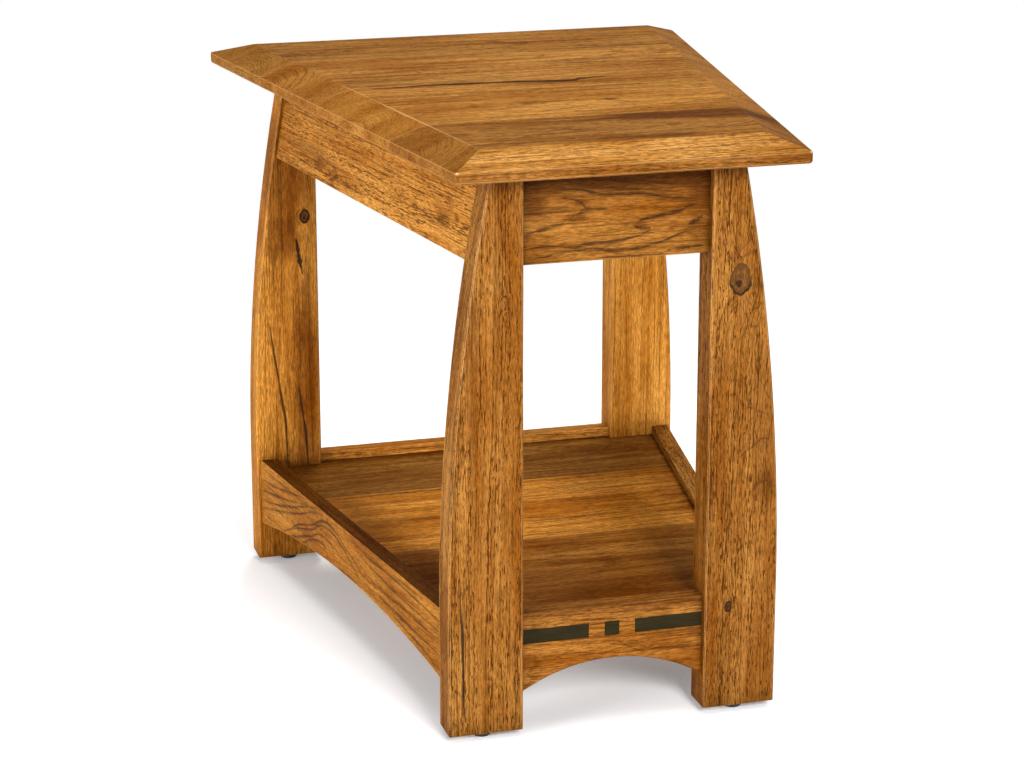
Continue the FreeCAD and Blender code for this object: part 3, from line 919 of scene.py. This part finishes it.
def apron_boards():
    """The four aprons under the top, their grain lengthwise."""
    ends = {"along": EAST, "across": UP}
    rings = (
        (2.0, 0.85, 0.4, ((-66, 564), (-56, 561), (-37, 559), (-16, 554), (1, 553), (19, 552), (35, 550),
                          (54, 546), (84, 543))),
        (1.6, 0.6, 0.4, ((-51, 568), (-32, 563), (-2, 559), (16, 557), (41, 554), (71, 550))),
        (1.6, 0.6, 0.4, ((-80, 573), (-20, 568), (40, 562), (90, 556))),
        (1.8, 0.75, 0.4, ((-57, 553), (-44, 550), (-35, 546), (-31, 541), (-17, 539), (-7, 539))),
        (1.8, 0.8, 0.4, ((-47, 533), (-41, 535), (-31, 538), (-19, 539))),
        (2.2, 0.85, 0.4, ((-93, 517), (-81, 521), (-72, 523), (-60, 526), (-51, 527))),
        (2.2, 0.85, 0.4, ((-93, 503), (-72, 505), (-43, 503), (-29, 505), (-1, 506), (11, 508), (24, 510),
                          (34, 514), (43, 515))),
        (2.2, 0.85, 0.4, ((-93, 495), (-72, 495), (-60, 498), (-19, 499), (-4, 497), (12, 497), (30, 499),
                          (45, 502), (59, 507), (69, 510), (88, 515))),
        (1.6, 0.7, 0.4, ((-19, 491), (17, 490), (53, 490))),
        (2.0, 0.8, 0.4, ((51, 493), (66, 495), (92, 496))),
        (2.6, 0.9, 0.25, ((18, 521), (25, 525), (34, 527), (47, 529), (59, 531), (68, 533), (75, 537),
                          (86, 538))),
        (2.2, 0.9, 0.2, ((18, 521), (27, 517), (36, 517))),
        (3.0, 0.85, 0.2, ((74, 518), (81, 521), (89, 525))),
    )
    return {
        "apron_front": Board(
            **ends, pith=(-0.02, -0.030), ring=0.0120, taper=0.010, sway=0.3, streaks=0.35, seed=9.0,
            # A stronger painted corner shade, for the apron under the top's overhang.
            lines=0.25, pores=0.35, glaze=1.5, tint=(0.88, 0.87, 0.82),
            marks=(*(Vein(front(*line), width, dark, broken) for width, dark, broken, line in rings),
                   # Painted shadow of the top's overhang along the apron's top, then smudges in the stain.
                   Shade((0, 0, 574), 500, 32, 0.95), Shade((-84, 0, 548), 17, 20, 0.8),
                   Shade((-41, 0, 531), 17, 5, 0.9), Shade((24, 0, 521), 11, 5, 0.9),
                   Shade((88, 0, 522), 22, 48, 0.55), Shade((-36, 0, 546), 10, 4, 0.6))),
        "apron_back": Board(**ends, pith=(0.01, -0.07), ring=0.007, taper=0.10, sway=0.8, seed=10.0),
        "apron_left": Board(
            along=lengthwise("apron_left"), across=UP, pith=(-0.06, 0.035), ring=0.0115, taper=0.015,
            sway=0.5, streaks=0.35, lines=0.35, pores=0.8, seed=11.0, tint=(1.38, 1.40, 1.36),
            marks=(Shade((-175, 138, 506), 22, 8, 0.8), Shade((-160, 97, 503), 10, 10, 0.6),
                   Shade((-130, -190, 517), 26, 9, 0.8), Shade((-125, -221, 522), 9, 6, 0.8),
                   Shade((-140, -121, 514), 14, 6, 0.6), Shade((-125, -197, 536), 12, 6, 0.5))),
        "apron_right": Board(
            along=lengthwise("apron_right"), across=UP, pith=(0.02, -0.06), ring=0.007, taper=0.09, sway=0.8,
            streaks=0.35, seed=12.0),
    }


def rail_boards():
    """The four arched lower rails, their grain lengthwise."""
    ends = {"along": EAST, "across": UP}
    bends = (
        ((266, 107), (224, 110), (184, 116), (126, 127)),
        ((267, 93), (218, 100), (165, 110), (108, 123)),
        ((268, 82), (225, 88), (179, 99), (89, 126), (71, 129)),
        ((268, 71), (219, 82), (153, 99), (90, 120), (59, 126)),
        ((241, 52), (207, 60), (174, 73), (148, 87), (97, 104), (72, 116), (48, 120), (30, 117), (1, 108),
         (-27, 101), (-50, 91), (-72, 82)),
        ((188, 65), (154, 81), (103, 96), (66, 112), (42, 113), (19, 109), (-16, 95), (-49, 81)),
        ((214, 52), (155, 71), (104, 88), (73, 99), (49, 99), (31, 96), (8, 89)),
        ((162, 54), (130, 72), (92, 87), (67, 90), (56, 80), (32, 74)),
        ((-6, 126), (-62, 120), (-139, 119), (-212, 116), (-262, 113)),
        ((-28, 118), (-84, 109), (-149, 105), (-262, 103)),
        ((-61, 102), (-105, 94), (-170, 95), (-262, 89)),
        ((-83, 86), (-138, 83), (-190, 80), (-251, 79)),
        ((-127, 77), (-180, 72), (-241, 64)),
    )
    return {
        "rail_front": Board(
            **ends, pith=(-0.02, -0.05), ring=0.0075, taper=0.04, sway=0.5, streaks=0.4, pores=0.55,
            seed=13.0, wear=0.0, tint=(1.12, 1.10, 1.08), marks=(Shade((0, -291, 130), 400, 22, 0.7),)),
        "rail_back": Board(
            **ends, pith=(0.0, 0.06), ring=0.0065, taper=0.08, sway=0.5, pores=0.5, seed=14.0, glaze=0.3,
            tint=(1.75, 1.75, 1.65)),
        "rail_left": Board(
            along=lengthwise("rail_left"), across=UP, pith=(-0.03, 0.05), ring=0.009, taper=0.02, sway=0.3,
            # The edge setting is painted shade on the rail's top face.
            streaks=0.2, lines=0.15, pores=0.35, seed=15.0, edge=0.75, tint=(1.15, 1.10, 0.85),
            marks=tuple(Vein(beside("rail_left", *line), 1.7, 0.75, 0.3) for line in bends)),
        "rail_right": Board(
            along=lengthwise("rail_right"), across=UP, pith=(0.01, -0.06), ring=0.0065, taper=0.08, sway=0.8,
            seed=16.0),
    }


def shelf_boards():
    """The three boards of the shelf, their grain from side to side."""
    flat = {"along": EAST, "across": NORTH, "lines": 0.4, "pores": 0.6}
    return {
        "shelf_board_front": Board(
            **flat, pith=(0.02, -0.08), ring=0.0065, taper=0.04, sway=0.4, streaks=0.4, seed=17.0,
            tint=(1.25, 1.22, 1.12),
            # The first shade darkens the front of the board; the second is a painted shadow of the left rail
            # and the front-left leg.
            marks=(Shade((0, -230, 118), 500, 170, 0.8), Shade((-150, -150, 118), 75, 170, 0.6))),
        "shelf_board_middle": Board(
            **flat, pith=(-0.01, -0.09), ring=0.006, taper=0.03, sway=0.4, streaks=0.35, seed=18.0,
            tint=(2.0, 1.98, 1.6),
            # Painted shadows: of the left rail at the left end, and of the front-right leg at the right end.
            marks=(Shade((-195, 40, 118), 60, 150, 0.6), Shade((210, 60, 118), 62, 130, 0.85))),
        "shelf_board_back": Board(
            **flat, pith=(0.03, -0.09), ring=0.006, taper=0.04, sway=0.4, streaks=0.3, seed=19.0,
            tint=(0.78, 0.77, 0.74)),
    }


def inner_boards():
    """Corner blocks and shelf cleats, which take a thinner stain."""
    plain = {"tint": (1.1, 1.15, 1.3), "ring": 0.0045, "streaks": 0.1}
    boards = {}
    for index, name in enumerate(CORNERS):
        boards["corner_block_" + name] = Board(along=UP, across=EAST, seed=20.0 + index, **plain)
    for index, hand in enumerate(("left", "right")):
        name = "shelf_cleat_" + hand
        boards[name] = Board(along=lengthwise(name), across=UP, seed=24.0 + index, **plain)
    return boards


# Inlay, plastic and steel


def inlay_material(finish):
    """Dyed wood with fine paler fibres."""
    material, net, shader = new_material("dyed_inlay")
    place = net.add("TexCoord").outputs["Object"]
    fibre = net.grain(place, DYED_FIBRES, 3.0, 0.6)
    share = net.times_plus(net.grain(place, DYE_MOTTLE), 0.5, fibre)
    colour = net.blend(net.ease(share, 0.55, 1.0), rgba(finish.dye), rgba(finish.fleck))
    rough = net.ease(fibre, 0.2, 0.8, 0.36, 0.5)
    surface(net, shader, colour, rough, fibre, strength=0.15, distance=0.0003)
    shader["Specular IOR Level"].default_value = 0.05
    return material


def pad_material(finish):
    """Moulded plastic with a fine leathery grain and scuffs."""
    material, net, shader = new_material("pad_plastic")
    place = net.add("TexCoord").outputs["Object"]
    pebbles = net.grain(place, PAD_PEBBLES)
    scuffs = net.grain(place, PAD_SCUFFS, 3.0, 0.65)
    colour = net.blend(net.ease(scuffs, 0.56, 0.74, 0.0, 0.35), rgba(finish.plastic), SCUFFED)
    rough = net.ease(scuffs, 0.3, 0.7, 0.42, 0.62)
    surface(net, shader, colour, rough, pebbles, strength=0.2, distance=0.0002)
    return material


def plated_material(name, colour):
    """Plated steel, unevenly bright, with fine turning marks."""
    material, net, shader = new_material(name)
    place = net.add("TexCoord").outputs["Object"]
    cloud = net.grain(place, PLATE_CLOUDS, 3.0, 0.6)
    turning = net.grain(place, TURNING_MARKS, 1.0)
    dull = tuple(DULL_PLATE * part for part in colour)
    colour = net.blend(net.ease(cloud, 0.35, 0.7), rgba(colour), rgba(dull))
    rough = net.ease(cloud, 0.3, 0.7, 0.24, 0.42)
    surface(net, shader, colour, rough, turning, strength=0.12, distance=0.0001)
    shader["Metallic"].default_value = 1.0
    return material


# Studs and screws


def ring_of(bm, radius, height, count):
    """A ring of points round the upright axis."""
    turns = (2 * math.pi * step / count for step in range(count))
    return [bm.verts.new((radius * math.cos(turn), radius * math.sin(turn), height)) for turn in turns]


def wall(bm, low, high):
    """Faces from one ring of points to another."""
    faces = []
    for step in range(len(low)):
        after = (step + 1) % len(low)
        faces.append(bm.faces.new((low[step], low[after], high[after], high[step])))
    return faces


def turned(bm, profile, count=24):
    """A piece turned on the lathe from radii and heights, closed at both ends."""
    rings = [ring_of(bm, radius, height, count) for radius, height in profile]
    for low, high in zip(rings, rings[1:]):
        wall(bm, low, high)
    bm.faces.new(reversed(rings[0]))
    bm.faces.new(rings[-1])


def cut_thread(bm, root, crest, pitch, low, turns, taper=0, count=18):
    """A thread wound round a shank, fading over the last turns where it tapers."""
    steps = turns * count
    roots, crests = [], []
    for step in range(steps + count + 1):
        turn = 2 * math.pi * step / count
        share = min(1.0, max(0.0, (steps + count - step) / (taper * count))) if taper else 1.0
        width = 0.25 + 0.75 * share
        height = low + pitch * step / count
        aim = Vector((math.cos(turn), math.sin(turn), 0))
        roots.append(bm.verts.new(aim * root * width + UP * height))
        crests.append(bm.verts.new(aim * crest * width + UP * (height + pitch / 2)))
    for step in range(steps):
        after, above_it = step + 1, step + count
        bm.faces.new((roots[step], roots[after], crests[after], crests[step]))
        bm.faces.new((crests[step], crests[after], roots[above_it + 1], roots[above_it]))


def collar(bm, flats, low, high, bevel):
    """A hexagon collar with broken edges."""
    reach = flats / 2 / math.cos(math.pi / 6)
    base = ring_of(bm, reach, low, 6)
    roof = ring_of(bm, reach, high, 6)
    faces = [bm.faces.new(base[::-1]), bm.faces.new(roof)]
    faces += wall(bm, base, roof)
    edges = {edge for face in faces for edge in face.edges}
    bmesh.ops.bevel(bm, geom=list(edges), offset=bevel, segments=2, affect="EDGES")


def cross_head(bm, radius, neck, depth, recess, count=32):
    """A countersunk head, its face at nought and a tapered cross sunk into it."""
    rim = ring_of(bm, radius * 0.95, 0.0, count)
    land = ring_of(bm, radius, radius * 0.05, count)
    base = ring_of(bm, neck, depth, count)
    wall(bm, rim, land)
    wall(bm, land, base)
    bm.faces.new(base)
    long, half = radius * 0.56, radius * 0.13
    corners = ((long, -half), (long, half), (half, half))
    outlines = []
    for scale, height in ((1.0, 0.0), (0.5, recess)):
        outline = []
        for c, s in ((1, 0), (0, 1), (-1, 0), (0, -1)):
            for x, y in corners:
                spot = ((x * c - y * s) * scale, (x * s + y * c) * scale, height)
                outline.append(bm.verts.new(spot))
        outlines.append(outline)
    mouth, floor = outlines
    loops = [bm.edges.get((rim[step], rim[(step + 1) % count])) for step in range(count)]
    loops += [bm.edges.new((mouth[step], mouth[(step + 1) % len(mouth)])) for step in range(len(mouth))]
    bmesh.ops.triangle_fill(bm, edges=loops, use_beauty=True)
    wall(bm, mouth, floor)
    bm.faces.new(floor)


def finished(bm, name, material):
    """Turn the work into an object with even normals and this material."""
    bmesh.ops.recalc_face_normals(bm, faces=bm.faces)
    mesh = bpy.data.meshes.new(name)
    bm.to_mesh(mesh)
    bm.free()
    mesh.materials.append(material)
    obj = bpy.data.objects.new(name, mesh)
    bpy.context.scene.collection.objects.link(obj)
    return obj


def threaded_stud(name, node, finish, material):
    """The steel stud of one foot: neck, hexagon collar and threaded shank."""
    low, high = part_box(node)
    bm = bmesh.new()
    neck_top, collar_top = low.z + NECK_LENGTH, low.z + COLLAR_REACH
    root = STUD_CREST - finish.thread_depth
    step_in, step_up = NECK_EDGE
    turned(bm, ((NECK_RADIUS - step_in, low.z), (NECK_RADIUS, low.z + step_up), (NECK_RADIUS, neck_top)))
    collar(bm, COLLAR_FLATS, neck_top, collar_top, COLLAR_BEVEL)
    tip = (root - STUD_TIP_STEP, high.z)
    turned(bm, ((root, collar_top - STUD_OVERLAP), (root, high.z - STUD_LEAD), tip))
    turns = int((high.z - collar_top - STUD_LEAD) / finish.pitch) - 1
    cut_thread(bm, root, STUD_CREST, finish.pitch, collar_top + STUD_THREAD_GAP, turns)
    bmesh.ops.translate(bm, verts=bm.verts, vec=((low.x + high.x) / 2, (low.y + high.y) / 2, 0))
    return finished(bm, name, material)


def wood_screws(name, node, finish, material):
    """The four countersunk screws that hold the top down."""
    low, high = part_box(node)
    points = [vertex.co for vertex in NODES[node].data.vertices]
    length = high.z - low.z
    shape = ((SHANK_RADIUS, SHANK_START), (SHANK_RADIUS, SHANK_LENGTH), (CORE_RADIUS, CORE_START),
             (CORE_RADIUS, length - TIP_LENGTH), (TIP_RADIUS, length - TIP_GAP))
    whole = bmesh.new()
    for y in (low.y + HEAD_RADIUS, high.y - HEAD_RADIUS):
        across = max(p.x for p in points if abs(p.y - y) < HEAD_RADIUS * 1.1) - HEAD_RADIUS
        for x in (-across, across):
            bm = bmesh.new()
            cross_head(bm, HEAD_RADIUS, HEAD_NECK, HEAD_DEPTH, RECESS_DEPTH)
            turned(bm, shape)
            turns = int((length - CORE_START) / finish.screw_pitch) - 1
            cut_thread(bm, SCREW_ROOT, SCREW_CREST, finish.screw_pitch, SCREW_THREAD_START, turns, TIP_TURNS)
            bmesh.ops.translate(bm, verts=bm.verts, vec=(x, y, low.z))
            mesh = bpy.data.meshes.new("one_screw")
            bm.to_mesh(mesh)
            bm.free()
            whole.from_mesh(mesh)
            bpy.data.meshes.remove(mesh)
    return finished(whole, name, material)


# Stage


def seen_rays(net):
    """One for rays from the camera, a gloss or a glass, and nought for the light that bounces."""
    ray = net.add("LightPath").outputs
    return net.larger(net.larger(ray["Is Camera Ray"], ray["Is Glossy Ray"]), ray["Is Transmission Ray"])


def floor_material(studio):
    """Pale floor that keeps the shadow and fades into the white behind it."""
    material, net, _ = new_material("studio_floor")
    nodes = net.tree.nodes
    nodes.remove(nodes["Principled BSDF"])
    seen = seen_rays(net)
    colour = net.blend(seen, rgba(studio.floor), SEEN_FLOOR)
    matt = net.add("BsdfDiffuse", {"Color": colour}).outputs[0]
    lift = net.add("Emission", {"Color": WHITE, "Strength": net.times(seen, FLOOR_LIFT)}).outputs[0]
    lit = net.add("AddShader", {0: matt, 1: lift}).outputs[0]
    place = net.calc3("MULTIPLY", net.add("TexCoord").outputs["Object"], (1, 1, 0))
    fade = net.times(net.ease(net.length(place), *FLOOR_FADE), seen)
    clear = net.add("BsdfTransparent").outputs[0]
    shown = net.add("MixShader", {0: fade, 1: lit, 2: clear}).outputs[0]
    net.feed(nodes["Material Output"].inputs["Surface"], shown)
    return material


def white_world(studio):
    """Even light from all round, and a white surround near the horizon."""
    world = bpy.data.worlds.new("studio_white")
    world.use_nodes = True
    net = ShaderNet(world.node_tree)
    rise = net.parts(net.add("TexCoord").outputs["Generated"])[2]
    surround = net.ease(rise, *WHITE_RISE, 1.0, studio.ambient * 0.7)
    back = net.tree.nodes["Background"].inputs
    back["Color"].default_value = WHITE
    strength = net.add("Mix", {0: seen_rays(net), 2: studio.ambient, 3: surround}).outputs[0]
    net.feed(back["Strength"], strength)
    bpy.context.scene.world = world


def lamp(name, place, target, size, power):
    """A large soft lamp aimed at a point."""
    data = bpy.data.lights.new(name, "AREA")
    data.shape = "RECTANGLE"
    data.size, data.size_y = size
    data.energy = power
    obj = bpy.data.objects.new(name, data)
    bpy.context.scene.collection.objects.link(obj)
    obj.location = place
    obj.visible_camera = False
    obj.rotation_euler = (Vector(target) - Vector(place)).to_track_quat("-Z", "Y").to_euler()
    return obj


def set_camera(studio):
    """Camera at the photograph's viewing angle."""
    turn, tilt = studio.camera_turn, studio.camera_tilt
    ahead = Vector((math.sin(turn) * math.cos(tilt), math.cos(turn) * math.cos(tilt), -math.sin(tilt)))
    right = Vector((math.cos(turn), -math.sin(turn), 0))
    up = right.cross(ahead)
    data = bpy.data.cameras.new("photo_camera")
    data.sensor_width = 36.0
    data.sensor_fit = "HORIZONTAL"
    data.lens = studio.lens
    data.clip_end = 50.0
    obj = bpy.data.objects.new("photo_camera", data)
    bpy.context.scene.collection.objects.link(obj)
    pose = Matrix((right, up, -ahead)).transposed().to_4x4()
    pose.translation = Vector(studio.camera_place)
    obj.matrix_world = pose
    bpy.context.scene.camera = obj


# Operators


class TABLE_OT_top(bpy.types.Operator):
    """Stain the boards of the top"""

    bl_idname = "table.top"
    bl_label = "Top boards"

    def execute(self, context):
        dress_boards(top_boards(), context.scene.wedge_table.hickory)
        return {"FINISHED"}


class TABLE_OT_legs(bpy.types.Operator):
    """Stain the four legs"""

    bl_idname = "table.legs"
    bl_label = "Legs"

    def execute(self, context):
        dress_boards(leg_boards(), context.scene.wedge_table.hickory)
        return {"FINISHED"}


class TABLE_OT_aprons(bpy.types.Operator):
    """Stain the four aprons"""

    bl_idname = "table.aprons"
    bl_label = "Aprons"

    def execute(self, context):
        dress_boards(apron_boards(), context.scene.wedge_table.hickory)
        return {"FINISHED"}


class TABLE_OT_rails(bpy.types.Operator):
    """Stain the four arched rails"""

    bl_idname = "table.rails"
    bl_label = "Lower rails"

    def execute(self, context):
        dress_boards(rail_boards(), context.scene.wedge_table.hickory)
        return {"FINISHED"}


class TABLE_OT_shelf(bpy.types.Operator):
    """Stain the boards of the shelf"""

    bl_idname = "table.shelf"
    bl_label = "Shelf boards"

    def execute(self, context):
        dress_boards(shelf_boards(), context.scene.wedge_table.hickory)
        return {"FINISHED"}


class TABLE_OT_blocks(bpy.types.Operator):
    """Stain the corner blocks and the shelf cleats"""

    bl_idname = "table.blocks"
    bl_label = "Blocks and cleats"

    def execute(self, context):
        dress_boards(inner_boards(), context.scene.wedge_table.hickory)
        return {"FINISHED"}


class TABLE_OT_inlay(bpy.types.Operator):
    """Dye the inlay of the front rail"""

    bl_idname = "table.inlay"
    bl_label = "Inlay"

    def execute(self, context):
        material = inlay_material(context.scene.wedge_table.inlay)
        for name in ("inlay_bar_left", "inlay_square", "inlay_bar_right"):
            dress(name, material)
        return {"FINISHED"}


class TABLE_OT_feet(bpy.types.Operator):
    """Finish the levelling feet and the screws"""

    bl_idname = "table.feet"
    bl_label = "Feet and screws"

    def execute(self, context):
        finish = context.scene.wedge_table.foot
        plastic = pad_material(finish)
        zinc = plated_material("foot_zinc", finish.zinc)
        yellow = plated_material("screw_zinc", finish.brass_zinc)
        for corner in CORNERS:
            dress("foot_pad_" + corner, plastic)
            node = "foot_stud_" + corner
            stud = threaded_stud("threaded_stud_" + corner, node, finish, zinc)
            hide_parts(node)
            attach(stud, "stud_" + corner)
        dress("foot_inserts", zinc)
        screws = wood_screws("wood_screws", "top_screws", finish, yellow)
        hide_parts("top_screws")
        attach(screws, "table")
        return {"FINISHED"}


class TABLE_OT_studio(bpy.types.Operator):
    """Set the floor, the lamps and the camera"""

    bl_idname = "table.studio"
    bl_label = "Studio"

    def execute(self, context):
        studio = context.scene.wedge_table.studio
        bpy.ops.mesh.primitive_plane_add(size=8.0, location=(0, 0, 0))
        floor = context.object
        floor.name = "studio_floor"
        floor.data.materials.append(floor_material(studio))
        white_world(studio)
        lamp("key_lamp", (0.15, -2.75, 1.5), (0, 0, 0.35), (0.7, 0.75), studio.key)
        lamp("top_lamp", (-0.1, -0.4, 2.7), (0, 0, 0.4), (1.7, 1.7), studio.top)
        lamp("side_lamp", (-2.5, -1.05, 0.65), (0, 0, 0.35), (1.1, 0.7), studio.side)
        lamp("back_lamp", (0.9, 2.3, 1.9), (0, 0, 0.2), (1.2, 1.0), studio.back).visible_glossy = False
        set_camera(studio)
        context.scene.view_settings.view_transform = "Standard"
        return {"FINISHED"}


OPERATORS = (
    TABLE_OT_top,
    TABLE_OT_legs,
    TABLE_OT_aprons,
    TABLE_OT_rails,
    TABLE_OT_shelf,
    TABLE_OT_blocks,
    TABLE_OT_inlay,
    TABLE_OT_feet,
    TABLE_OT_studio,
)


class TABLE_PT_sidebar(bpy.types.Panel):
    """Steps of the finish, in order"""

    bl_idname = "TABLE_PT_sidebar"
    bl_label = "Wedge Table"
    bl_space_type = "VIEW_3D"
    bl_region_type = "UI"
    bl_category = "Table"

    def draw(self, context):
        column = self.layout.column(align=True)
        for operator in OPERATORS:
            column.operator(operator.bl_idname)


GROUPS = (HickoryFinish, InlayFinish, FootFinish, StudioSettings, TableSettings)
CLASSES = GROUPS + OPERATORS + (TABLE_PT_sidebar,)


def register():
    """Make the settings, operators and panel known."""
    for cls in CLASSES:
        bpy.utils.register_class(cls)
    bpy.types.Scene.wedge_table = PointerProperty(type=TableSettings)


def unregister():
    """Take them away again."""
    del bpy.types.Scene.wedge_table
    for cls in reversed(CLASSES):
        bpy.utils.unregister_class(cls)


def main():
    """Finish the table and set the studio."""
    register()
    bpy.ops.table.top()
    bpy.ops.table.legs()
    bpy.ops.table.aprons()
    bpy.ops.table.rails()
    bpy.ops.table.shelf()
    bpy.ops.table.blocks()
    bpy.ops.table.inlay()
    bpy.ops.table.feet()
    bpy.ops.table.studio()


if __name__ == "__main__":
    main()
